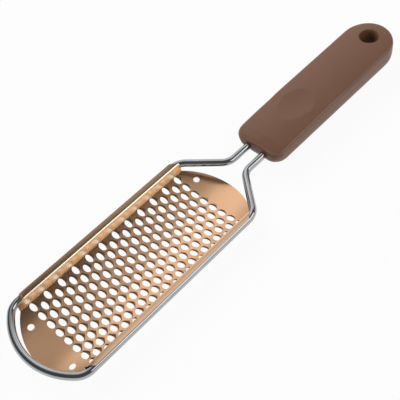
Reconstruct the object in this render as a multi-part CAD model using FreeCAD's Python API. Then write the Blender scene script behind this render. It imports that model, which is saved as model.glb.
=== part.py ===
import FreeCAD, Part
import math
import os

V = FreeCAD.Vector

# Foot file: a perforated rasp plate hemmed over a bent wire loop, with a moulded handle on the wire's ends.
# Millimetres and degrees. X runs from the plate to the handle, Y across, Z up from the tooth tips.

# Stamped sheet
sheet_thickness = 0.5
trough_radius = 81.0
plate_length = 125.7
end_bow = 10.4
hem_length = 96.0
wall_lean = 6.0
bend_radius = 0.3
hem_stop_angle = 70.0

# Rasp holes, pressed through the sheet in staggered rows
hole_pitch = 6.0
row_step = 4.27
hole_length = 4.7
hole_width = 3.1
lip_width = 0.9
edge_land = 0.05
pattern_share = 0.76
blunt_share = 0.5

# Round tooling holes
tooling_diameter = 3.2
tooling_inset = 8.85
tooling_spread = 29.3

# Wire loop
wire_diameter = 3.8
wire_spread = 51.0
wire_lift = 7.6
front_gap = 0.65
front_corner_radius = 8.3
shoulder_inset = 10.35
shoulder_angle = 51.1
shoulder_radius = 9.0
neck_radius = 8.15
leg_spread = 10.1
leg_length = 14.2
tang_length = 55.0
hem_clearance = 0.05
socket_clearance = 0.05

# Handle
handle_length = 105.9
handle_width = 28.6
handle_height = 16.2
handle_rise_angle = 0.7
crown_radius = 65.0
nose_corner_radius = 5.0
tail_corner_radius = 12.5
nose_run = 15.0
nose_height = 13.4
nose_radius = 22.0
nose_lead_angle = 5.0
knee_run = 6.0
top_round = 1.8
bottom_round = 9.0
hang_hole_diameter = 9.0
hang_hole_inset = 12.0
hang_hole_flare = 0.8
thumb_inset = 28.4
thumb_radius = 80.0
thumb_depth = 1.2

# Heights and stations that follow from the sizes above; stations count from the middle of the plate
trough_top = 2 * sheet_thickness
wire_radius = wire_diameter / 2
wire_z = trough_top + wire_lift
wire_y = wire_spread / 2
leg_y = leg_spread / 2
plate_end = plate_length / 2
hem_end = hem_length / 2
hem_inner_radius = wire_radius + hem_clearance
hem_outer_radius = hem_inner_radius + sheet_thickness
front_middle = plate_end + front_gap + wire_radius
shoulder_x = plate_end - shoulder_inset
neck_x = shoulder_x + (wire_y - leg_y) / math.tan(math.radians(shoulder_angle))
handle_front = neck_x + leg_length
handle_end = handle_front + handle_length
plate_x = (front_middle + wire_radius - handle_end) / 2


def trough_point(x, arc, depth):
    """Point of the trough at station x, arc length from its middle line, and depth below its inside."""
    turn = arc / trough_radius
    reach = trough_radius + depth
    return V(x, reach * math.sin(turn), trough_top + trough_radius - reach * math.cos(turn))


def trough_surface(depth):
    surface = Part.Cylinder()
    surface.Center = V(0, 0, trough_top + trough_radius)
    surface.Axis = V(1, 0, 0)
    surface.Radius = trough_radius + depth
    return surface


def chain_on(surface, points):
    """Edges from point to point that lie in the curved surface."""
    places = [FreeCAD.Base.Vector2d(*surface.parameter(point)) for point in points]
    return [Part.Geom2d.Line2dSegment(a, b).toShape(surface) for a, b in zip(places, places[1:])]


def chain(points):
    """Straight edges from point to point."""
    return [Part.LineSegment(a, b).toShape() for a, b in zip(points, points[1:])]


def ruled(first, second):
    return [Part.makeRuledSurface(a, b) for a, b in zip(first, second)]


def bend_geometry():
    """Where trough, bend, wall and hem of the sheet's section meet, as (y, z) on the inside face."""
    lean = math.radians(wall_lean)
    inward = V(0, -math.cos(lean), -math.sin(lean))
    upward = V(0, -math.sin(lean), math.cos(lean))
    axis = V(0, 0, trough_top + trough_radius)
    wire = V(0, wire_y, wire_z)
    wall_top = wire + inward * hem_outer_radius
    start = wall_top + inward * bend_radius - axis
    along = start.dot(upward)
    drop = along + math.sqrt(along ** 2 - start.dot(start) + (trough_radius - bend_radius) ** 2)
    bend_centre = axis + start - upward * drop
    return axis, wire, inward, wall_top, wall_top - upward * drop, bend_centre


trough_axis, wire_point, wall_inward, wall_top, wall_foot, bend_centre = bend_geometry()
trough_edge = trough_axis + (bend_centre - trough_axis) * (trough_radius / (trough_radius - bend_radius))
trough_half_arc = trough_radius * math.asin(trough_edge.y / trough_radius)
end_radius = (trough_edge.y ** 2 + end_bow ** 2) / (2 * end_bow)


def turned(angle, radius):
    """Point on the section of the wire or hem, counted round the wire from level outside."""
    turn = math.radians(angle)
    return wire_point + V(0, math.cos(turn), math.sin(turn)) * radius


def edge_section(offset):
    """Bend, wall and hem of one side of the section, offset outward from the inside face."""
    foot = wall_foot - wall_inward * offset
    top = wall_top - wall_inward * offset
    bend_start = bend_centre + (trough_edge - bend_centre) * ((bend_radius + offset) / bend_radius)
    toward = (trough_edge - bend_centre).normalize() + (wall_foot - bend_centre).normalize()
    bend_middle = bend_centre + toward.normalize() * (bend_radius + offset)
    wall_angle = math.degrees(math.pi) + wall_lean
    hem_radius = hem_outer_radius - offset
    hem_middle = turned((wall_angle + hem_stop_angle) / 2, hem_radius)
    hem_stop = turned(hem_stop_angle, hem_radius)
    edges = [Part.Arc(bend_start, bend_middle, foot).toShape(),
             Part.LineSegment(foot, top).toShape(),
             Part.Arc(top, hem_middle, hem_stop).toShape()]
    return bend_start, hem_stop, edges


def plate_blank():
    """Trough, walls and hems at full length, cut to the outline of the plate."""
    inner_start, inner_stop, inner_edges = edge_section(0)
    outer_start, outer_stop, outer_edges = edge_section(sheet_thickness)
    side = inner_edges + outer_edges + [Part.LineSegment(inner_stop, outer_stop).toShape()]
    section = list(side)
    for edge in side:
        section.append(edge.mirror(V(0, 0, 0), V(0, 1, 0)))
    for start, depth in ((inner_start, 0), (outer_start, sheet_thickness)):
        across = V(0, -start.y, start.z)
        section.append(Part.Arc(across, trough_point(0, 0, depth), start).toShape())
    profile = Part.Face(Part.Wire(Part.__sortEdges__(section)))
    profile.translate(V(-plate_end, 0, 0))
    bar = profile.extrude(V(plate_length, 0, 0))

    corner_x = plate_end - end_bow
    edge_y = trough_edge.y
    rim_y = wire_y + hem_outer_radius + wire_radius
    corners = [V(-corner_x, edge_y), V(-hem_end, edge_y), V(-hem_end, rim_y), V(hem_end, rim_y),
               V(hem_end, edge_y), V(corner_x, edge_y)]
    outline = chain(corners)
    outline += [edge.mirror(V(0, 0, 0), V(0, 1, 0)) for edge in outline]
    for end in (-1, 1):
        outline.append(Part.Arc(V(end * corner_x, -edge_y), V(end * plate_end, 0),
                                V(end * corner_x, edge_y)).toShape())
    blank = Part.Face(Part.Wire(Part.__sortEdges__(outline)))
    return bar.common(blank.extrude(V(0, 0, wire_z + hem_outer_radius + wire_diameter)))


def hole_centres():
    """Stations and arc lengths of the staggered holes that fit between the walls."""
    reach = trough_half_arc - hole_length / 2 - edge_land
    rows = int(pattern_share * plate_end / row_step)
    centres = []
    for row in range(-rows, rows + 1):
        shift = hole_pitch / 2 * (row % 2)
        count = int((reach - shift) / hole_pitch)
        first = -count - row % 2
        for step in range(first, count + 1):
            centres.append((row * row_step, step * hole_pitch + shift))
    return centres


def pressed_tooth(x, arc):
    """One hole with its lip: rim on the inside face, rim on the underside, and the faces between them."""
    half_length = hole_length / 2
    half_width = hole_width / 2
    blunt = half_width * blunt_share
    lip_flatness = half_length ** 2 / (4 * trough_radius)

    def side(ends, middle, depth, dip):
        """Points along one side of the hole, with the middle one dipped below the ends."""
        places = [(ends, half_length, depth), (middle, 0, depth + dip), (ends, -half_length, depth)]
        return [trough_point(x + wide, arc + along, below) for wide, along, below in places]

    rims = []
    faces = []
    fronts = []
    cuts = []
    tips = []
    for depth in (0, sheet_thickness):
        front_points = side(-blunt, -half_width, depth, 0)
        root_points = side(blunt, half_width + lip_width, depth, 0)
        cut_points = side(blunt, half_width, depth, sheet_thickness)
        front = chain_on(trough_surface(depth), front_points)
        root = chain_on(trough_surface(depth), root_points)
        cut = chain(cut_points)
        tip = [chain([front_points[end], cut_points[end]])[0] for end in (0, -1)]
        fold = chain([root_points[1], cut_points[1]])
        for root_edge, cut_edge in zip(root, cut):
            outline = Part.Wire(Part.__sortEdges__([root_edge, cut_edge] + fold))
            outline.fixTolerance(lip_flatness)
            faces.append(Part.Face(outline))
        rims.append(Part.Wire(Part.__sortEdges__(front + root + tip)))
        fronts.append(front)
        cuts.append(cut)
        tips.append(tip)
    for upper, lower in (fronts, cuts, tips):
        faces += ruled(upper, lower)
    return rims[0], rims[1], faces


def rasp_plate():
    blank = plate_blank()
    tooling_x = plate_end - tooling_inset
    tooling_y = tooling_spread / 2
    for x, y in ((-tooling_x, -tooling_y), (-tooling_x, tooling_y), (tooling_x, tooling_y)):
        blank = blank.cut(Part.makeCylinder(tooling_diameter / 2, wire_z, V(x, y, 0)))

    inner_rims = []
    under_rims = []
    faces = []
    for x, arc in hole_centres():
        inner_rim, under_rim, tooth_faces = pressed_tooth(x, arc)
        inner_rims.append(inner_rim)
        under_rims.append(under_rim)
        faces += tooth_faces
    for face in blank.Faces:
        holed = face.copy()
        for depth, rims in ((0, inner_rims), (sheet_thickness, under_rims)):
            round_face = isinstance(face.Surface, Part.Cylinder)
            if round_face and math.isclose(face.Surface.Radius, trough_radius + depth):
                holed.cutHoles(rims)
                holed.validate()
        faces.append(holed)
    return Part.Solid(Part.makeShell(faces))


def bend_arc(corner, before, after, radius):
    """Arc of a given radius between two straight runs that meet at a corner."""
    back = (before - corner).normalize()
    ahead = (after - corner).normalize()
    half = back.getAngle(ahead) / 2
    run = radius / math.tan(half)
    middle = (back + ahead).normalize()
    centre = corner + middle * (radius / math.sin(half))
    return corner + back * run, centre - middle * radius, corner + ahead * run


def wire_frame():
    """Round wire swept along half of the loop, mirrored to the other half."""
    front_radius = end_radius + front_gap + wire_radius
    front_centre = V(front_radius - front_middle, 0, wire_z)
    corner_y = wire_y - front_corner_radius
    corner_back = math.sqrt((front_radius - front_corner_radius) ** 2 - corner_y ** 2)
    corner_centre = front_centre + V(-corner_back, corner_y, 0)
    outward = (corner_centre - front_centre).normalize()
    front_turn = math.atan2(outward.y, -outward.x)
    front_half = V(-math.cos(front_turn / 2), math.sin(front_turn / 2), 0)
    apex = V(-front_middle, 0, wire_z)
    corner_start = front_centre + outward * front_radius
    corner_half = (outward + V(0, 1, 0)).normalize()
    corner_stop = corner_centre + V(0, front_corner_radius, 0)

    shoulder = V(shoulder_x, wire_y, wire_z)
    neck = V(neck_x, leg_y, wire_z)
    tang_end = V(handle_front + tang_length, leg_y, wire_z)
    shoulder_start, shoulder_middle, shoulder_stop = bend_arc(shoulder, corner_stop, neck, shoulder_radius)
    neck_start, neck_middle, neck_stop = bend_arc(neck, shoulder, tang_end, neck_radius)
    path = Part.Wire([
        Part.Arc(apex, front_centre + front_half * front_radius, corner_start).toShape(),
        Part.Arc(corner_start, corner_centre + corner_half * front_corner_radius, corner_stop).toShape(),
        Part.LineSegment(corner_stop, shoulder_start).toShape(),
        Part.Arc(shoulder_start, shoulder_middle, shoulder_stop).toShape(),
        Part.LineSegment(shoulder_stop, neck_start).toShape(),
        Part.Arc(neck_start, neck_middle, neck_stop).toShape(),
        Part.LineSegment(neck_stop, tang_end).toShape(),
    ])
    section = Part.Face(Part.Wire(Part.makeCircle(wire_radius, apex, V(0, 1, 0))))
    half = path.makePipe(section)
    return half.fuse(half.mirror(V(0, 0, 0), V(0, 1, 0)))


def rounded_face(corners):
    """Face inside straight runs from corner to corner, each corner with its own radius."""
    arcs = []
    for place, (corner, radius) in enumerate(corners):
        before = corners[place - 1][0]
        after = corners[(place + 1) % len(corners)][0]
        arcs.append(bend_arc(corner, before, after, radius))
    edges = []
    for place, (start, middle, stop) in enumerate(arcs):
        if corners[place][1] > 0:
            edges.append(Part.Arc(start, middle, stop).toShape())
        following = arcs[(place + 1) % len(arcs)][0]
        edges += chain([stop, following])
    return Part.Face(Part.Wire(Part.__sortEdges__(edges)))


def crown_top(x):
    """Height of the handle's middle line behind the nose."""
    return handle_height + (x - handle_front - nose_run) * math.tan(math.radians(handle_rise_angle))


def crown_section():
    """Section of the grip, with its crowned top through the origin and its upper edges rounded."""
    half = handle_width / 2
    round_y = half - top_round
    round_z = math.sqrt((crown_radius - top_round) ** 2 - round_y ** 2) - crown_radius
    centre = V(0, round_y, round_z)
    outward = (centre + V(0, 0, crown_radius)).normalize()
    crown_edge = centre + outward * top_round
    middle = centre + (outward + V(0, 1, 0)).normalize() * top_round
    side = V(0, half, round_z)
    foot = V(0, half, -2 * handle_height)
    edges = [Part.Arc(crown_edge, middle, side).toShape(), Part.LineSegment(side, foot).toShape()]
    edges += [edge.mirror(V(0, 0, 0), V(0, 1, 0)) for edge in edges]
    edges.append(Part.Arc(V(0, -crown_edge.y, crown_edge.z), V(0, 0, 0), crown_edge).toShape())
    edges.append(Part.LineSegment(foot, V(0, -foot.y, foot.z)).toShape())
    return Part.Face(Part.Wire(Part.__sortEdges__(edges)))


def handle_blank():
    """Handle where its plan, its side profile, its underside and its sloping crown overlap."""
    half = handle_width / 2
    above = 2 * handle_height
    plan = rounded_face([
        (V(handle_front, -half), nose_corner_radius), (V(handle_end, -half), tail_corner_radius),
        (V(handle_end, half), tail_corner_radius), (V(handle_front, half), nose_corner_radius),
    ])
    crest_x = handle_front + nose_run
    lead = math.tan(math.radians(nose_lead_angle))
    knee_x = handle_front + knee_run
    side = rounded_face([
        (V(handle_front, -half, 0), bottom_round), (V(handle_front, -half, nose_height), top_round),
        (V(knee_x, -half, handle_height - (crest_x - knee_x) * lead), nose_radius),
        (V(handle_end, -half, handle_height + (handle_end - crest_x) * lead), 0),
        (V(handle_end, -half, 0), bottom_round),
    ])
    across = rounded_face([
        (V(handle_front, -half, 0), bottom_round), (V(handle_front, half, 0), bottom_round),
        (V(handle_front, half, above), 0), (V(handle_front, -half, above), 0),
    ])
    crown = crown_section().extrude(V(2 * handle_length, 0, 0))
    crown.translate(V(-handle_length / 2, 0, 0))
    crown.rotate(V(0, 0, 0), V(0, 1, 0), -handle_rise_angle)
    crown.translate(V(crest_x, 0, handle_height))
    body = plan.extrude(V(0, 0, above))
    for form in (side.extrude(V(0, handle_width, 0)), across.extrude(V(handle_length, 0, 0)), crown):
        body = body.common(form)
    return body


def handle():
    body = handle_blank()
    hang_x = handle_end - hang_hole_inset
    hang_radius = hang_hole_diameter / 2
    body = body.cut(Part.makeCylinder(hang_radius, 2 * handle_height, V(hang_x, 0, 0)))
    flare = hang_radius + hang_hole_flare
    for height, turn in ((0, 1), (crown_top(hang_x), -1)):
        mouth = V(hang_x, 0, height - turn * flare)
        body = body.cut(Part.makeCone(2 * flare, 0, 2 * flare, mouth, V(0, 0, turn)))

    thumb_x = handle_front + thumb_inset
    thumb_z = crown_top(thumb_x) - thumb_depth + thumb_radius
    body = body.cut(Part.makeSphere(thumb_radius, V(thumb_x, 0, thumb_z), V(0, 1, 0)))
    for y in (-leg_y, leg_y):
        socket_length = tang_length + socket_clearance
        body = body.cut(Part.makeCylinder(wire_radius + socket_clearance, socket_length,
                                          V(handle_front, y, wire_z), V(1, 0, 0)))
    return body


os.makedirs("parts", exist_ok=True)
for name, make in (("wire_frame", wire_frame), ("rasp_plate", rasp_plate), ("handle", handle)):
    shape = make()
    shape.translate(V(plate_x, 0, 0))
    shape.exportStep("parts/" + name + ".step")
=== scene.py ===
import math

import bmesh
import bpy
from mathutils import Matrix, Vector


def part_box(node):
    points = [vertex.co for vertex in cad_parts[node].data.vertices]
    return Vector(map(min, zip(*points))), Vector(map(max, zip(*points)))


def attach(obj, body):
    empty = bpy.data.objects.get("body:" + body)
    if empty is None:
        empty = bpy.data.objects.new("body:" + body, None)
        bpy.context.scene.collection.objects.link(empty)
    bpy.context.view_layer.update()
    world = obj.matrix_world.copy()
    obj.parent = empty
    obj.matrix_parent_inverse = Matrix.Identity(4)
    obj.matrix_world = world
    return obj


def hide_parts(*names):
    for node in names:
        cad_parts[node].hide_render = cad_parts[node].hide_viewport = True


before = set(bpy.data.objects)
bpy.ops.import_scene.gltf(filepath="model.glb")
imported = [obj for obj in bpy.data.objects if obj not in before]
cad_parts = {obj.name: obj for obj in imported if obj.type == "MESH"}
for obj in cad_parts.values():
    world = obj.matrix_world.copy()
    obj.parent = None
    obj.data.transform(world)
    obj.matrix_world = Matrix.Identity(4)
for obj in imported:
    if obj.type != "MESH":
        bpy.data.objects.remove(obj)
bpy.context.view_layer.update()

# Foot file. Pieces are modelled in millimetres round the middle of the plate, then brought to metres.
millimetre = 0.001
plate_low, plate_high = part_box("rasp_plate")
plate_middle = (plate_low.x + plate_high.x) / 2
clearance = 0.05
upright_axis = (0, 0, 1)
long_axis = (1, 0, 0)
cross_axis = (0, 1, 0)

# How close counts as touching
near = 0.01
flush = 0.001
hair = 1e-6
weld_gap = 0.002
cut_gap = 1e-5
sliver = 0.02

# Stamped sheet
sheet_thickness = 0.5
trough_radius = 81.0
trough_top = 1.0
plate_end = 62.85
end_bow = 10.4
hem_end = plate_end - end_bow
hem_slant = 4.4
hem_slant_start = 36.0
wall_lean = math.radians(6)
bend_radius = 0.3
fold_radius = 1.6
flange_dip = math.radians(12)
flange_edge = 26.4
metal_crease = math.radians(50)

# Rasp holes
hole_pitch = 6.0
row_step = 4.27
hole_length = 4.7
hole_width = 3.1
hole_sides = 16
lip_width = 0.35
lip_reach = 0.32
rolled_edge = 0.12
# Rings round a hole, as shares: the way out from the rim, and how deep the ring is pressed
lip_rings = ((0.5, 0.3), (1, 0))
outer_row = 11
last_x = outer_row * row_step
long_row = 8
field_margin = row_step / 4
strip_width = hole_pitch / 4
strips_each_side = 15

# Tooling holes, each by its end and side of the plate
tooling_holes = ((-1, -1), (-1, 1), (1, 1))
tooling_radius = 1.6
tooling_sides = 24
tooling_inset = 8.85
tooling_spread = 29.3

# Wire loop
wire_radius = 1.9
wire_sides = 32
wire_y = 25.5
wire_z = 8.6
hem_radius = wire_radius + clearance + sheet_thickness
front_gap = 0.65
front_corner = 8.3
shoulder_inset = 10.35
shoulder_x = plate_end - shoulder_inset
shoulder_angle = math.radians(51.1)
shoulder_radius = 9.0
neck_radius = 8.15
leg_y = 5.05
leg_length = 14.2
tang_length = 55.0
neck_x = shoulder_x + (wire_y - leg_y) / math.tan(shoulder_angle)

# Handle
grip_front = neck_x + leg_length
grip_length = 105.9
grip_end = grip_front + grip_length
grip_half = 14.3
grip_height = 16.2
grip_rise = math.tan(math.radians(0.7))
crown_radius = 65.0
top_round = 1.8
bottom_round = 9.0
flank_limit_share = 0.9
least_side = 0.1
grip_crease = math.radians(38)

# Nose and tail of the handle
nose_corner = 5.0
nose_height = 13.4
nose_run = 15.0
nose_knee = 6.0
nose_lead = math.tan(math.radians(5))
nose_blend = 5.0
nose_dip_share = 0.125
nose_stations = (0, 0.05, 0.2, 0.45, 0.8, 1.25, 1.8, 2.5, 3.2, 4, 5, 6, 7, 8, 9, 10.5, 12.5, nose_run)
body_steps = 32
tail_steps = 32
tail_lift_run = 3.0
tail_crown_radius = 71.5

# Steps round half a section of the handle
base_steps = 5
flank_steps = 9
side_steps = 4
rim_steps = 6
crown_steps = 8

# Cuts in the handle
cut_overrun = 4.0
hang_inset = 12.0
hang_x = grip_end - hang_inset
hang_radius = 4.5
hang_flare = 0.2
hang_draft = 1.0
hang_waist = 7.0
hang_sides = 64
thumb_inset = 28.4
thumb_x = grip_front + thumb_inset
thumb_radius = 80.0
thumb_depth = 1.2
thumb_rings = range(1, 24, 2)
thumb_sides = 96
socket_radius = wire_radius + clearance
socket_lead = 5.0
socket_sides = 28


def start_clean():
    """Back to object mode with nothing selected."""
    if bpy.context.mode != "OBJECT":
        bpy.ops.object.mode_set(mode="OBJECT")
    bpy.ops.object.select_all(action="DESELECT")


def take_up(piece):
    """Selects one piece alone."""
    start_clean()
    piece.select_set(True)
    bpy.context.view_layer.objects.active = piece


def open_up(piece):
    """Opens one piece for editing, all of it selected."""
    take_up(piece)
    bpy.ops.object.mode_set(mode="EDIT")
    bpy.ops.mesh.select_all(action="SELECT")


def close_up():
    """Ends the editing of a piece."""
    bpy.ops.object.mode_set(mode="OBJECT")


def begin(name):
    """Names the primitive just added, settles its place into its mesh and opens it for editing."""
    piece = bpy.context.object
    piece.name = name
    piece.data.name = name
    bpy.ops.object.transform_apply(location=True, rotation=True, scale=True)
    open_up(piece)
    return piece


def pick(piece, kind, test):
    """Selects the vertices, edges or faces of a piece in edit mode that pass a test of their place."""
    bpy.ops.mesh.select_mode(type={"verts": "VERT", "edges": "EDGE", "faces": "FACE"}[kind])
    bpy.ops.mesh.select_all(action="DESELECT")
    mesh = bmesh.from_edit_mesh(piece.data)
    for part in getattr(mesh, kind):
        if test(part):
            part.select_set(True)
    bmesh.update_edit_mesh(piece.data)


def turn(centre, axis, angle, steps):
    """Spins what is selected about an axis, counter-clockwise as seen from the axis' tip."""
    bpy.ops.mesh.spin(steps=steps, angle=-angle, center=centre, axis=axis)


def pull(x, y, z):
    """Extrudes what is selected by a straight run."""
    bpy.ops.mesh.extrude_region_move(TRANSFORM_OT_translate={"value": (x, y, z)})


def draw_edge(x):
    """Draws an edge along the file from the selected vertex."""
    bpy.ops.mesh.extrude_vertices_move(TRANSFORM_OT_translate={"value": (x, 0, 0)})


def apply(piece, kind, **values):
    """Adds a modifier with the given values and applies it."""
    take_up(piece)
    modifier = piece.modifiers.new(kind.lower(), kind)
    for name, value in values.items():
        setattr(modifier, name, value)
    bpy.ops.object.modifier_apply(modifier=modifier.name)


def repeat(piece, count, step):
    """Copies a piece along a straight run."""
    apply(piece, "ARRAY", count=count, use_relative_offset=False, use_constant_offset=True,
          constant_offset_displace=step)


def outward(piece):
    """Merges doubles and turns the faces of a closed shell outwards."""
    open_up(piece)
    bpy.ops.mesh.remove_doubles(threshold=weld_gap)
    bpy.ops.mesh.normals_make_consistent(inside=False)
    close_up()


def settle(piece, smooth_angle):
    """Brings a piece modelled in millimetres to its place in metres, with smooth shading."""
    take_up(piece)
    piece.scale = (millimetre, millimetre, millimetre)
    piece.location = (plate_middle, 0, 0)
    bpy.ops.object.transform_apply(location=True, rotation=True, scale=True)
    bpy.ops.object.shade_smooth_by_angle(angle=smooth_angle)


def bend_points():
    """Section points of one side: trough edge, wall foot, wall top and the centre of the bend at the foot."""
    inward = Vector((0, -math.cos(wall_lean), -math.sin(wall_lean)))
    upward = Vector((0, -math.sin(wall_lean), math.cos(wall_lean)))
    axis = Vector((0, 0, trough_top + trough_radius))
    top = Vector((0, wire_y, wire_z)) + inward * hem_radius
    start = top + inward * bend_radius - axis
    along = start.dot(upward)
    drop = along + math.sqrt(along ** 2 - start.length_squared + (trough_radius - bend_radius) ** 2)
    centre = axis + start - upward * drop
    edge = axis + (centre - axis) * trough_radius / (trough_radius - bend_radius)
    return edge, top - upward * drop, top, centre


trough_edge, wall_foot, wall_top, bend_centre = bend_points()
half_arc = trough_radius * math.asin(trough_edge.y / trough_radius)


def cell_border():
    """Outline of the sheet that belongs to one hole: a hexagon, with two points along each of its long sides."""
    steps = 3
    tip_x = (row_step + hole_pitch ** 2 / 4 / row_step) / 2
    corner_x = row_step - tip_x
    side_y = hole_pitch / 2
    quarter = [(tip_x + (corner_x - tip_x) * step / steps, side_y * step / steps) for step in range(steps + 1)]
    upper = quarter + [(0, side_y)] + [(-x, y) for x, y in reversed(quarter)]
    return upper + [(-x, -y) for x, y in upper[1:-1]]


def ring_order(mesh):
    """The selected vertices of a ring, counter-clockwise from the handle side."""
    ring = [v for v in mesh.verts if v.select]
    return sorted(ring, key=lambda v: math.atan2(v.co.y + hair, v.co.x) % math.tau)


def fit_border(cell):
    """Moves the selected ring of a cell to the cell's border, and ends its editing."""
    mesh = bmesh.from_edit_mesh(cell.data)
    for corner, (x, y) in zip(ring_order(mesh), cell_border()):
        corner.co = (x, y, 0)
    bmesh.update_edit_mesh(cell.data)
    close_up()


def tooth_cell():
    """One hole: its rim, the lip pressed down on the handle side, and the flat sheet out to the border."""
    half_width = hole_width / 2
    half_length = hole_length / 2
    lip_edge = half_width - lip_reach
    start_clean()
    bpy.ops.mesh.primitive_circle_add(vertices=hole_sides, radius=1)
    cell = begin("tooth_cell")
    bpy.ops.transform.resize(value=(half_width, half_length, 1), center_override=(0, 0, 0))
    mesh = bmesh.from_edit_mesh(cell.data)
    for rim in mesh.verts:
        if rim.co.x > 0:
            rim.co.z = -sheet_thickness * rim.co.x / half_width
            rim.co.x *= lip_edge / half_width
    bmesh.update_edit_mesh(cell.data)
    for share, press in lip_rings:
        bpy.ops.mesh.extrude_edges_move()
        mesh = bmesh.from_edit_mesh(cell.data)
        for place, point in enumerate(ring_order(mesh)):
            angle = math.tau * place / hole_sides
            pressed_side = math.cos(angle) > 0
            reach = lip_edge if pressed_side else half_width
            beside = lip_width + lip_reach if pressed_side else rolled_edge
            point.co = ((reach + share * beside) * math.cos(angle),
                        (half_length + share * rolled_edge) * math.sin(angle),
                        -sheet_thickness * press * max(math.cos(angle), 0))
        bmesh.update_edit_mesh(cell.data)
    bpy.ops.mesh.extrude_edges_move()
    fit_border(cell)
    pressed = cell.data.attributes.new("pressed", "FLOAT", "POINT")
    for vertex, mark in zip(cell.data.vertices, pressed.data):
        mark.value = min(-vertex.co.z / sheet_thickness, 1)
    return cell


def blank_cell():
    """Sheet with no hole, the size of one hole's share."""
    start_clean()
    bpy.ops.mesh.primitive_circle_add(vertices=hole_sides, radius=1, fill_type="NGON")
    cell = begin("blank_cell")
    fit_border(cell)
    return cell


def field(cell, name, first_x, first_y, rows, columns):
    """Copies of a cell in every other row of the staggered pattern."""
    take_up(cell)
    bpy.ops.object.duplicate()
    piece = bpy.context.object
    piece.name = name
    repeat(piece, columns, (0, hole_pitch, 0))
    repeat(piece, rows, (2 * row_step, 0, 0))
    piece.location = (first_x, first_y, 0)
    return piece


def punched_field():
    """Flat sheet with all its rasp holes, trimmed to the width of the trough and left open for editing."""
    tooth = tooth_cell()
    blank = blank_cell()
    odd_x = -last_x
    even_x = odd_x + row_step
    odd_y = -(long_row - 1) / 2 * hole_pitch
    even_y = -(long_row - 2) / 2 * hole_pitch
    blank_y = long_row / 2 * hole_pitch
    parts = [field(tooth, "rasp_sheet", odd_x, odd_y, outer_row + 1, long_row),
             field(tooth, "even_rows", even_x, even_y, outer_row, long_row - 1),
             field(blank, "left_blanks", even_x, -blank_y, outer_row, 1),
             field(blank, "right_blanks", even_x, blank_y, outer_row, 1)]
    start_clean()
    for part in parts:
        part.select_set(True)
    bpy.context.view_layer.objects.active = parts[0]
    bpy.ops.object.join()
    sheet = begin("rasp_sheet")
    bpy.ops.mesh.remove_doubles(threshold=near)
    for side in (-1, 1):
        bpy.ops.mesh.select_all(action="SELECT")
        bpy.ops.mesh.bisect(plane_co=(0, side * half_arc, 0), plane_no=(0, side, 0), clear_outer=True,
                            threshold=cut_gap)
    for cell in (tooth, blank):
        bpy.data.objects.remove(cell)
    return sheet


def open_past_field(edge, end):
    """Whether an edge of the flat sheet lies open past the last row of holes at one end."""
    middle_x = sum(v.co.x for v in edge.verts) / 2
    level = all(abs(v.co.z) < hair for v in edge.verts)
    return edge.is_boundary and level and end * middle_x > last_x + field_margin


def fill_ends(sheet):
    """Adds the bowed ends to the flat sheet, with the tooling holes left open in them."""
    end_radius = (half_arc ** 2 + end_bow ** 2) / (2 * end_bow)
    end_turn = 2 * math.asin(half_arc / end_radius)
    for end in (-1, 1):
        mesh = bmesh.from_edit_mesh(sheet.data)
        start_x = end * max(end * v.co.x for v in mesh.verts if v.is_boundary and abs(v.co.y + half_arc) < near)
        run = end * hem_end - start_x
        pick(sheet, "verts", lambda v: v.is_boundary and abs(v.co.y + half_arc) < near
             and abs(v.co.x - start_x) < near)
        draw_edge(run)
        turn((end * (plate_end - end_radius), 0, 0), upright_axis, end * end_turn, steps=48)
        draw_edge(-run)
        bpy.ops.mesh.select_all(action="SELECT")
        bpy.ops.mesh.remove_doubles(threshold=near)
        for side in [side for hole_end, side in tooling_holes if hole_end == end]:
            bpy.ops.mesh.primitive_circle_add(
                vertices=tooling_sides, radius=tooling_radius,
                location=(end * (plate_end - tooling_inset), side * tooling_spread / 2, 0))
        pick(sheet, "edges", lambda e: e.is_wire or open_past_field(e, end))
        bpy.ops.mesh.fill(use_beauty=True)


def score(sheet):
    """Cuts the ends of the flat sheet into strips, so that they roll smoothly, and marks where the hems end."""
    for step in range(-strips_each_side, strips_each_side + 1):
        pick(sheet, "faces", lambda f: len(f.verts) == 3
             or all(abs(v.co.x) > last_x + field_margin for v in f.verts))
        bpy.ops.mesh.bisect(plane_co=(0, step * strip_width, 0), plane_no=cross_axis, threshold=cut_gap)
    for end in (-1, 1):
        pick(sheet, "faces", lambda f: any(abs(v.co.y) > half_arc - near for v in f.verts))
        bpy.ops.mesh.bisect(plane_co=(end * hem_end, 0, 0), plane_no=long_axis, threshold=cut_gap)


def roll_to_trough(sheet):
    """Bends the flat sheet across to the trough's radius."""
    upright = Matrix(((0, 1, 0), (0, 0, 1), (1, 0, 0))).to_4x4()
    take_up(sheet)
    sheet.matrix_world = upright
    bpy.ops.object.transform_apply(location=True, rotation=True, scale=True)
    apply(sheet, "SIMPLE_DEFORM", deform_method="BEND", deform_axis="Z", angle=2 * half_arc / trough_radius)
    sheet.matrix_world = Matrix.Translation((0, 0, trough_top)) @ upright.inverted()
    bpy.ops.object.transform_apply(location=True, rotation=True, scale=True)


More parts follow.
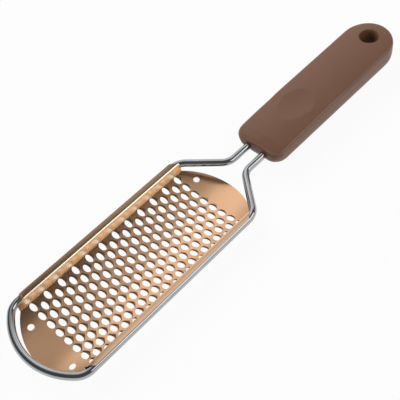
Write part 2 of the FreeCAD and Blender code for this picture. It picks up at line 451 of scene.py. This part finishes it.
def turn_up_hems(sheet):
    """Turns the long edges up to walls, and folds them outward over the wire to flanges that dip inward."""
    bend = (trough_edge - bend_centre).angle(wall_foot - bend_centre)
    rise = (wall_top - wall_foot).normalized()
    over = Vector((0, math.cos(flange_dip), math.sin(flange_dip)))
    touch = Vector((0, wire_y - hem_radius * math.sin(flange_dip), wire_z + hem_radius * math.cos(flange_dip)))
    gap = touch - wall_foot
    tall = (gap.y * over.z - gap.z * over.y) / (rise.y * over.z - rise.z * over.y)
    fold = rise.angle(over)
    fold_run = fold_radius * math.tan(fold / 2)
    wall = rise * (tall - fold_run)
    crease = wall_foot + rise * tall
    fold_centre = wall_foot + wall + Vector((0, rise.z, -rise.y)) * fold_radius
    flange = over * ((flange_edge - crease.y) / over.y - fold_run)
    open_up(sheet)
    for side in (-1, 1):
        pick(sheet, "edges", lambda e: all(
            abs(side * v.co.y - trough_edge.y) < near and abs(v.co.x) < hem_end + near for v in e.verts))
        turn((0, side * bend_centre.y, bend_centre.z), long_axis, side * bend, steps=4)
        pull(0, side * wall.y, wall.z)
        turn((0, side * fold_centre.y, fold_centre.z), long_axis, -side * fold, steps=6)
        pull(0, side * flange.y, flange.z)
    slant_hem_ends(sheet, crease.y, wall_foot.z + wall.z)
    close_up()


def slant_hem_ends(sheet, crease_y, fold_z):
    """Draws the outer corners of the flanges back toward the middle of the plate."""
    mesh = bmesh.from_edit_mesh(sheet.data)
    for point in mesh.verts:
        beyond = abs(point.co.x) - hem_slant_start
        outside = (abs(point.co.y) - crease_y) / (flange_edge - crease_y)
        if beyond > 0 and outside > 0 and point.co.z > fold_z:
            back = hem_slant * outside * beyond / (hem_end - hem_slant_start)
            point.co.x -= math.copysign(back, point.co.x)
    bmesh.update_edit_mesh(sheet.data)


def face_up(sheet):
    """Turns the faces of the thin sheet alike, with the trough's looking up."""
    open_up(sheet)
    bpy.ops.mesh.normals_make_consistent(inside=False)
    mesh = bmesh.from_edit_mesh(sheet.data)
    tip = Vector((plate_end, 0))
    end_face = min(mesh.faces, key=lambda f: sum(abs(a) for a in f.calc_center_median().xy - tip))
    if end_face.normal.z < 0:
        bpy.ops.mesh.flip_normals()
    close_up()


def rasp_sheet():
    """Flat punched sheet with its ends, rolled to the trough, with walls and hems turned up and thickened."""
    sheet = punched_field()
    fill_ends(sheet)
    score(sheet)
    close_up()
    roll_to_trough(sheet)
    turn_up_hems(sheet)
    face_up(sheet)
    apply(sheet, "SOLIDIFY", thickness=sheet_thickness, offset=-1, use_even_offset=True,
          use_quality_normals=True)
    settle(sheet, metal_crease)
    return sheet


def wire_loop():
    """Round wire: one half is spun and pulled from the front to the end of its tang, then mirrored."""
    end_radius = (trough_edge.y ** 2 + end_bow ** 2) / (2 * end_bow)
    front_radius = end_radius + front_gap + wire_radius
    front_x = -(plate_end + front_gap + wire_radius)
    front_centre = Vector((front_x + front_radius, 0, wire_z))
    corner_y = wire_y - front_corner
    corner_back = math.sqrt((front_radius - front_corner) ** 2 - corner_y ** 2)
    corner_centre = front_centre + Vector((-corner_back, corner_y, 0))
    front_turn = math.atan2(corner_y, corner_back)
    shoulder_run = shoulder_radius * math.tan(shoulder_angle / 2)
    shoulder_start = shoulder_x - shoulder_run
    neck_run = neck_radius * math.tan(shoulder_angle / 2)
    slope = Vector((math.cos(shoulder_angle), -math.sin(shoulder_angle), 0))
    slope_length = (wire_y - leg_y) / math.sin(shoulder_angle) - shoulder_run - neck_run

    start_clean()
    bpy.ops.mesh.primitive_circle_add(vertices=wire_sides, radius=wire_radius, location=(front_x, 0, wire_z),
                                      rotation=(math.pi / 2, 0, 0))
    loop = begin("wire_loop")
    turn(front_centre, upright_axis, -front_turn, steps=20)
    turn(corner_centre, upright_axis, front_turn - math.pi / 2, steps=14)
    pull(shoulder_start - corner_centre.x, 0, 0)
    turn((shoulder_start, wire_y - shoulder_radius, wire_z), upright_axis, -shoulder_angle, steps=12)
    pull(*(slope * slope_length))
    turn((neck_x + neck_run, leg_y + neck_radius, wire_z), upright_axis, shoulder_angle, steps=12)
    pull(leg_length + tang_length - neck_run, 0, 0)
    bpy.ops.mesh.edge_face_add()
    apply(loop, "MIRROR", use_axis=(False, True, False), use_clip=True, merge_threshold=weld_gap)
    outward(loop)
    settle(loop, metal_crease)
    return loop


def fall(run, radius):
    """How far a rounded end has fallen back, at a run from that end."""
    return radius - math.sqrt(radius ** 2 - max(radius - run, 0) ** 2)


def crown_line(x):
    """Height of the handle's middle line behind the nose."""
    return grip_height + (x - grip_front - nose_run) * grip_rise


def nose_line(x):
    """Height of the nose: a straight rise to the knee that runs out into the crown."""
    knee = crown_line(grip_front + nose_run) - (nose_run - nose_knee) * nose_lead
    run = x - grip_front
    if run < nose_knee:
        return nose_height + (knee - nose_height) * run / nose_knee
    return knee + (run - nose_knee) * nose_lead


def top_line(x):
    """Height of the handle's middle line: the nose, blended into the crown behind it."""
    line = crown_line(x)
    if x - grip_front > 2 * nose_run:
        return line
    nose = nose_line(x)
    gap = (line - nose) / nose_blend
    if gap > 1:
        return nose
    return min(line, nose) - nose_blend * nose_dip_share * (1 - abs(gap)) ** 2


def grip_ring(x):
    """Section of the handle at one station: flat underside, round flanks, upright sides and a crowned top."""
    front_run = x - grip_front
    half = grip_half - fall(front_run, nose_corner)
    low = fall(front_run, bottom_round)
    top = top_line(x) - fall(front_run, top_round)
    rim = min(top_round, half / 2, (top - low) / 3)
    rim_y = half - rim
    rim_z = math.sqrt((crown_radius - rim) ** 2 - rim_y ** 2) - crown_radius
    lean = math.atan2(rim_y, rim_z + crown_radius)
    side_high = top + rim_z
    flank = min(bottom_round, half * flank_limit_share, side_high - low - least_side)
    side_low = low + flank
    crown_y = crown_radius * math.sin(lean)

    points = [((half - flank) * step / base_steps, low) for step in range(base_steps)]
    for step in range(flank_steps + 1):
        angle = math.pi / 2 * step / flank_steps
        points.append((half - flank + flank * math.sin(angle), low + flank - flank * math.cos(angle)))
    points += [(half, side_low + (side_high - side_low) * step / side_steps) for step in range(1, side_steps)]
    for step in range(rim_steps + 1):
        angle = (math.pi / 2 - lean) * step / rim_steps
        points.append((rim_y + rim * math.cos(angle), side_high + rim * math.sin(angle)))
    for step in reversed(range(crown_steps)):
        y = crown_y * step / crown_steps
        drop = crown_radius - math.sqrt(crown_radius ** 2 - y ** 2)
        points.append((y, top - drop))
    return points + [(-y, z) for y, z in reversed(points[1:-1])]


def pulled_from(vertex):
    """Place in the mesh of the selected vertex that was pulled out of a vertex."""
    ends = [edge.other_vert(vertex) for edge in vertex.link_edges]
    return next(end.index for end in ends if end.select)


def grip_body(tail_x):
    """Handle from its nose to the start of its tail, each section pulled from the last, open at the tail."""
    stations = [grip_front + run for run in nose_stations]
    nose_end = stations[-1]
    stations += [nose_end + (tail_x - nose_end) * step / body_steps for step in range(1, body_steps + 1)]
    count = len(grip_ring(tail_x))
    start_clean()
    bpy.ops.mesh.primitive_circle_add(vertices=count, radius=1, fill_type="NGON")
    piece = begin("grip")
    ring = range(count)
    for place, x in enumerate(stations):
        if place:
            pull(1, 0, 0)
        mesh = bmesh.from_edit_mesh(piece.data)
        mesh.verts.ensure_lookup_table()
        if place:
            ring = [pulled_from(mesh.verts[old]) for old in ring]
        for point, (y, z) in zip(ring, grip_ring(x)):
            mesh.verts[point].co = (x, y, z)
        bmesh.update_edit_mesh(piece.data)
    bpy.ops.mesh.delete(type="ONLY_FACE")
    return piece


def spin_tail(piece, tail_x):
    """Spins half of the last section round to close the tail, and lifts its top to meet the crown."""
    pick(piece, "edges", lambda e: all(abs(v.co.x - tail_x) < flush and v.co.y > -flush for v in e.verts))
    turn((tail_x, 0, 0), upright_axis, -math.pi, steps=tail_steps)
    mesh = bmesh.from_edit_mesh(piece.data)
    for point in mesh.verts:
        run = point.co.x - tail_x
        reach = math.hypot(run, point.co.y)
        if run > flush and point.co.z > bottom_round:
            rise = min((point.co.z - bottom_round) / tail_lift_run, 1)
            crown_reach = min(reach, grip_half - top_round)
            point.co.z += rise * (run / reach) ** 2 * crown_reach ** 2 / (2 * tail_crown_radius)
    bmesh.update_edit_mesh(piece.data)


def lathe(name, rings, sides):
    """Closed round cutter about a standing axis, from a list of (radius, height) rings."""
    start_clean()
    bpy.ops.mesh.primitive_circle_add(vertices=sides, radius=rings[0][0], location=(0, 0, rings[0][1]),
                                      fill_type="NGON")
    cutter = begin(name)
    for (before, low), (radius, high) in zip(rings, rings[1:]):
        pull(0, 0, high - low)
        bpy.ops.transform.resize(value=(radius / before, radius / before, 1), center_override=(0, 0, high))
    bpy.ops.mesh.select_all(action="SELECT")
    bpy.ops.mesh.normals_make_consistent(inside=False)
    close_up()
    return cutter


def carve(piece, cutter, place):
    """Cuts a tool's shape out of a piece, and clears the tool away."""
    cutter.location = place
    apply(piece, "BOOLEAN", operation="DIFFERENCE", object=cutter, solver="EXACT")
    bpy.data.objects.remove(cutter)


def cut_hang_hole(piece):
    """Hang hole: narrow at mid-depth, drafted to a wider mouth with a small flare at both faces."""
    top = crown_line(hang_x)
    mouth = hang_radius + hang_draft
    funnel = [(mouth + hang_flare + cut_overrun, cut_overrun), (mouth, -hang_flare), (hang_radius, -hang_waist)]
    rings = [(radius, -high) for radius, high in funnel]
    rings += [(radius, top + high) for radius, high in reversed(funnel)]
    carve(piece, lathe("hang_hole", rings, hang_sides), (hang_x, 0, 0))


def cut_thumb_hollow(piece):
    """Shallow round hollow for the thumb."""
    bowl = [(radius, thumb_radius - math.sqrt(thumb_radius ** 2 - radius ** 2)) for radius in thumb_rings]
    place = (thumb_x, 0, crown_line(thumb_x) - thumb_depth)
    carve(piece, lathe("thumb_hollow", bowl, thumb_sides), place)


def cut_sockets(piece):
    """Two blind sockets for the tangs of the wire."""
    rings = [(socket_radius, -socket_lead), (socket_radius, tang_length + clearance)]
    for side in (-1, 1):
        socket = lathe("socket", rings, socket_sides)
        socket.rotation_euler = (0, math.pi / 2, 0)
        carve(piece, socket, (grip_front, side * leg_y, wire_z))


def clear_slivers(piece):
    """Takes out the needle faces that the cuts leave along their edges."""
    open_up(piece)
    bpy.ops.mesh.dissolve_degenerate(threshold=sliver)
    bpy.ops.mesh.select_all(action="SELECT")
    bpy.ops.mesh.quads_convert_to_tris(quad_method="BEAUTY", ngon_method="BEAUTY")
    bpy.ops.mesh.dissolve_degenerate(threshold=sliver)
    close_up()


def grip():
    """Moulded handle: sections pulled from the nose, tail spun, then hang hole, thumb hollow and sockets cut."""
    tail_x = grip_end - grip_half
    piece = grip_body(tail_x)
    spin_tail(piece, tail_x)
    outward(piece)
    apply(piece, "SUBSURF", levels=1, render_levels=1)
    cut_hang_hole(piece)
    cut_thumb_hollow(piece)
    cut_sockets(piece)
    clear_slivers(piece)
    settle(piece, grip_crease)
    return piece


def add(tree, kind, links, **values):
    """Adds a node, sets its own values, and gives each input a value or a link from another node's socket."""
    node = tree.nodes.new("ShaderNode" + kind)
    for name, value in values.items():
        setattr(node, name, value)
    for name, source in links.items():
        if isinstance(source, bpy.types.NodeSocket):
            tree.links.new(source, node.inputs[name])
        else:
            node.inputs[name].default_value = source
    return node


def work_out(tree, operation, *terms, use_clamp=False):
    """Result of one step of arithmetic on values and sockets."""
    links = dict(enumerate(terms))
    return add(tree, "Math", links, operation=operation, use_clamp=use_clamp).outputs[0]


def between(tree, value, low, high, start=0.0, full=1.0):
    """Runs from low to high while a value runs from start to full."""
    links = {"Value": value, "From Min": start, "From Max": full, "To Min": low, "To Max": high}
    return add(tree, "MapRange", links).outputs[0]


def blend(tree, mask, first, second):
    """Colour between two, by a mask. The node's colour sockets share their names with others, so go by number."""
    first_socket, second_socket, result_socket = 6, 7, 2
    mix = tree.nodes.new("ShaderNodeMix")
    mix.data_type = "RGBA"
    tree.links.new(mask, mix.inputs["Factor"])
    for socket, colour in ((mix.inputs[first_socket], first), (mix.inputs[second_socket], second)):
        if isinstance(colour, bpy.types.NodeSocket):
            tree.links.new(colour, socket)
        else:
            socket.default_value = (*colour, 1)
    return mix.outputs[result_socket]


def relief(tree, height, strength, depth):
    """Fine unevenness of a surface, from a height."""
    return add(tree, "Bump", {"Height": height, "Strength": strength, "Distance": depth}).outputs[0]


def group(name, inputs, outputs):
    """Empty shader node group with named sockets."""
    tree = bpy.data.node_groups.new(name, "ShaderNodeTree")
    for socket, kind in inputs.items():
        tree.interface.new_socket(socket, in_out="INPUT", socket_type="NodeSocket" + kind)
    for socket, kind in outputs.items():
        tree.interface.new_socket(socket, in_out="OUTPUT", socket_type="NodeSocket" + kind)
    return tree, tree.nodes.new("NodeGroupInput").outputs, tree.nodes.new("NodeGroupOutput").inputs


def cloud_group():
    """Slow uneven change over a surface, as handling and polishing leave it."""
    tree, given, result = group("uneven", {"Place": "Vector", "Scale": "Float", "Contrast": "Float"},
                                {"Mask": "Float"})
    noise = add(tree, "TexNoise", {"Vector": given["Place"], "Scale": given["Scale"], "Detail": 4.0,
                                   "Roughness": 0.6})
    middle = 0.5
    centred = work_out(tree, "SUBTRACT", noise.outputs[0], middle)
    spread = work_out(tree, "MULTIPLY_ADD", centred, given["Contrast"], middle, use_clamp=True)
    tree.links.new(spread, result["Mask"])
    return tree


def scratch_group():
    """Fine lines along one direction: two sets of drawn-out noise, coarse and fine."""
    fineness = 3.1
    tree, given, result = group("drawn_lines", {"Place": "Vector", "Scale": "Float", "Stretch": "Vector"},
                                {"Height": "Float"})
    drawn = add(tree, "VectorMath", {0: given["Place"], 1: given["Stretch"]}, operation="MULTIPLY").outputs[0]
    coarse = add(tree, "TexNoise", {"Vector": drawn, "Scale": given["Scale"], "Detail": 2.0}).outputs[0]
    finer = work_out(tree, "MULTIPLY", given["Scale"], fineness)
    fine = add(tree, "TexNoise", {"Vector": drawn, "Scale": finer, "Detail": 2.0}).outputs[0]
    both = work_out(tree, "ADD", coarse, fine)
    tree.links.new(work_out(tree, "MULTIPLY", both, 0.5), result["Height"])
    return tree


uneven = cloud_group()
drawn_lines = scratch_group()


def finish_of(name):
    """New material with its shader and the piece's own coordinates."""
    material = bpy.data.materials.new(name)
    material.use_nodes = True
    tree = material.node_tree
    place = add(tree, "TexCoord", {}).outputs["Object"]
    return material, tree, tree.nodes["Principled BSDF"], place


def lines_on(tree, place, scale, stretch):
    """Places the drawn lines in a material, with its own scale and direction."""
    links = {"Place": place, "Scale": scale, "Stretch": stretch}
    return add(tree, "Group", links, node_tree=drawn_lines).outputs[0]


def tone_on(tree, place, scale, contrast):
    """Places the uneven change in a material, with its own scale and contrast."""
    links = {"Place": place, "Scale": scale, "Contrast": contrast}
    return add(tree, "Group", links, node_tree=uneven).outputs[0]


def copper_finish():
    """Polished copper coloured sheet: rolled lines along it and an uneven warm tone.

    The pressed lips are darkened with painted shade, the upright walls paled with a painted reflection and made
    duller, and the folded flanges browned with a painted dark reflection.
    """
    warm, warmer = (0.70, 0.412, 0.238), (0.76, 0.462, 0.275)
    # Painted shade: the pressed lips are coloured darker.
    lip_painted_shade = (0.62, 0.37, 0.22)
    # Painted reflection: the upright walls are coloured paler, as if they mirror a lamp.
    wall_painted_reflection = (0.93, 0.76, 0.55)
    # Painted dark reflection: the folded flanges are coloured browner.
    flange_painted_dark_reflection = (0.66, 0.42, 0.27)
    wall_start, wall_full = 0.0042, 0.0052
    crease_start, crease_full = 0.0086, 0.0096
    flange_start, flange_full = 0.01065, 0.01085
    polished, wall_dull, line_dull = 0.13, 0.30, 0.14

    material, tree, shader, place = finish_of("copper_sheet")
    lines = lines_on(tree, place, scale=2600.0, stretch=(0.06, 1.0, 1.0))
    tone = tone_on(tree, place, scale=60.0, contrast=1.6)
    pressed = add(tree, "Attribute", {}, attribute_name="pressed").outputs["Fac"]
    height = add(tree, "SeparateXYZ", {0: place}).outputs["Z"]
    # The wall band carries a painted reflection in colour and a real duller roughness.
    wall = between(tree, height, 0.0, 1.0, wall_start, wall_full)
    crease = between(tree, height, 0.0, 1.0, crease_start, crease_full)
    # The flange band carries only a painted dark reflection.
    flange = between(tree, height, 0.0, 1.0, flange_start, flange_full)
    colour = blend(tree, tone, warm, warmer)
    # Painted shade: darker colour on the pressed lips.
    colour = blend(tree, pressed, colour, lip_painted_shade)
    # Painted reflection: paler colour on the upright walls.
    colour = blend(tree, wall, colour, wall_painted_reflection)
    # Painted dark reflection: browner colour on the folded flanges.
    colour = blend(tree, flange, colour, flange_painted_dark_reflection)
    dull = between(tree, work_out(tree, "SUBTRACT", wall, crease), polished, wall_dull)
    rough = work_out(tree, "MULTIPLY_ADD", lines, line_dull, dull)
    tree.links.new(colour, shader.inputs["Base Color"])
    tree.links.new(rough, shader.inputs["Roughness"])
    tree.links.new(relief(tree, lines, strength=0.06, depth=0.00002), shader.inputs["Normal"])
    shader.inputs["Metallic"].default_value = 1
    return material


def chrome_finish():
    """Chromed wire: bright, with fine drawing lines and slightly duller patches."""
    dim, bright = (0.38, 0.393, 0.408), (0.49, 0.504, 0.519)

    material, tree, shader, place = finish_of("chromed_wire")
    lines = lines_on(tree, place, scale=3000.0, stretch=(0.3, 0.3, 1.0))
    tone = tone_on(tree, place, scale=90.0, contrast=1.8)
    tree.links.new(blend(tree, tone, dim, bright), shader.inputs["Base Color"])
    tree.links.new(between(tree, lines, low=0.05, high=0.16), shader.inputs["Roughness"])
    tree.links.new(relief(tree, lines, strength=0.08, depth=0.00002), shader.inputs["Normal"])
    shader.inputs["Metallic"].default_value = 1
    return material


def plastic_finish():
    """Matt brown moulding: fine spark grain, uneven tone, and top edges lightened by a painted highlight together
    with rubbed wear.
    """
    dark, light = (0.208, 0.101, 0.061), (0.238, 0.119, 0.074)
    # Painted highlight and rubbed wear: lighter colour along the top rim.
    rim_highlight_and_wear_colour = (0.36, 0.225, 0.165)
    edge_slant, edge_start, edge_full = 0.62, 0.05, 0.32

    material, tree, shader, place = finish_of("brown_moulding")
    grain = lines_on(tree, place, scale=2200.0, stretch=(1.0, 1.0, 1.0))
    tone = tone_on(tree, place, scale=45.0, contrast=1.5)
    # Surfaces facing up at the rim's slant get the painted highlight and rubbed wear.
    facing = add(tree, "SeparateXYZ", {0: add(tree, "TexCoord", {}).outputs["Normal"]}).outputs["Z"]
    off_edge = work_out(tree, "ABSOLUTE", work_out(tree, "SUBTRACT", facing, edge_slant))
    edge = between(tree, off_edge, 1.0, 0.0, edge_start, edge_full)
    rim_highlight_and_wear = work_out(tree, "MULTIPLY", edge, tone)
    colour = blend(tree, tone, dark, light)
    # Painted highlight and rubbed wear lighten the top rim.
    colour = blend(tree, rim_highlight_and_wear, colour, rim_highlight_and_wear_colour)
    tree.links.new(colour, shader.inputs["Base Color"])
    tree.links.new(between(tree, tone, low=0.36, high=0.46), shader.inputs["Roughness"])
    tree.links.new(relief(tree, grain, strength=0.25, depth=0.00006), shader.inputs["Normal"])
    shader.inputs["Specular IOR Level"].default_value = 0.28
    return material


def lay_floor():
    """Pale floor that takes the file's shadow, and is white to the camera and in the mirror of bright metal."""
    width, drop = 6, 0.0002
    grey, white = (0.86, 0.86, 0.86, 1), (1, 1, 1, 1)
    white_share = 0.94

    start_clean()
    bpy.ops.mesh.primitive_plane_add(size=width, location=(0, 0, -drop))
    ground = bpy.context.object
    ground.name = "floor"
    material = bpy.data.materials.new("floor")
    material.use_nodes = True
    tree = material.node_tree
    tree.nodes.clear()
    rays = add(tree, "LightPath", {}).outputs
    seen = work_out(tree, "MAXIMUM", rays["Is Camera Ray"], rays["Is Glossy Ray"])
    share = work_out(tree, "MULTIPLY", seen, white_share)
    lit = add(tree, "BsdfDiffuse", {"Color": grey}).outputs[0]
    glow = add(tree, "Emission", {"Color": white, "Strength": 1}).outputs[0]
    mix = add(tree, "MixShader", {0: share, 1: lit, 2: glow}).outputs[0]
    add(tree, "OutputMaterial", {"Surface": mix})
    ground.data.materials.append(material)


def set_camera():
    """Camera at the photograph's viewing angle, placed from the middle of the plate."""
    right = (0.68448, -0.71997, -0.11465)
    up = (0.62214, 0.49487, 0.60667)
    back = (-0.38004, -0.48658, 0.78665)
    along, across, high = -0.093886, -0.174511, 0.291338

    start_clean()
    lens = bpy.data.cameras.new("camera")
    lens.sensor_width = 36
    lens.lens = 67.26
    lens.clip_start = 0.01
    eye = bpy.data.objects.new("camera", lens)
    bpy.context.collection.objects.link(eye)
    eye.matrix_world = Matrix((right, up, back)).transposed().to_4x4()
    eye.matrix_world.translation = (plate_middle + along, across, high)
    bpy.context.scene.camera = eye


def light_room():
    """Studio room: pale along the floor, dim overhead."""
    room = bpy.data.worlds.new("room")
    bpy.context.scene.world = room
    room.use_nodes = True
    tree = room.node_tree
    height = add(tree, "SeparateXYZ", {0: add(tree, "TexCoord", {}).outputs["Generated"]}).outputs["Z"]
    pale = between(tree, height, low=0.9, high=0.1, start=0.04, full=0.4)
    tree.links.new(pale, tree.nodes["Background"].inputs["Color"])


def softbox(name, towards, distance, width, height, brightness, mirrored=True):
    """Soft lamp aimed at the middle of the file; a fill lamp is not mirrored in bright metal."""
    light = bpy.data.lights.new(name, "AREA")
    light.shape = "RECTANGLE"
    light.size = width
    light.size_y = height
    light.energy = brightness * math.pi * width * height
    holder = bpy.data.objects.new(name, light)
    bpy.context.collection.objects.link(holder)
    holder.location = Vector(towards).normalized() * distance
    holder.rotation_euler = (-holder.location).to_track_quat("-Z", "Y").to_euler()
    holder.visible_glossy = mirrored


sheet = rasp_sheet()
wire = wire_loop()
handle = grip()
sheet.data.materials.append(copper_finish())
wire.data.materials.append(chrome_finish())
handle.data.materials.append(plastic_finish())
dressed = ((sheet, "rasp_plate", "plate"), (wire, "wire_frame", "wire"), (handle, "handle", "grip"))
for piece, node, slot in dressed:
    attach(piece, "root")
    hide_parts(node)

lay_floor()
set_camera()
light_room()
softbox("key", towards=(0.62, 0.62, 0.52), distance=0.9, width=1.25, height=0.85, brightness=0.64)
softbox("panel", towards=(0.22, 0.5, 0.84), distance=0.95, width=0.62, height=0.75, brightness=0.42)
softbox("side", towards=(0.40, -0.66, 0.64), distance=0.9, width=0.9, height=0.5, brightness=1.6)
softbox("fill", towards=(0.0, 0.72, 0.69), distance=1.2, width=0.8, height=0.8, brightness=3.5, mirrored=False)
bpy.context.scene.view_settings.view_transform = "Standard"
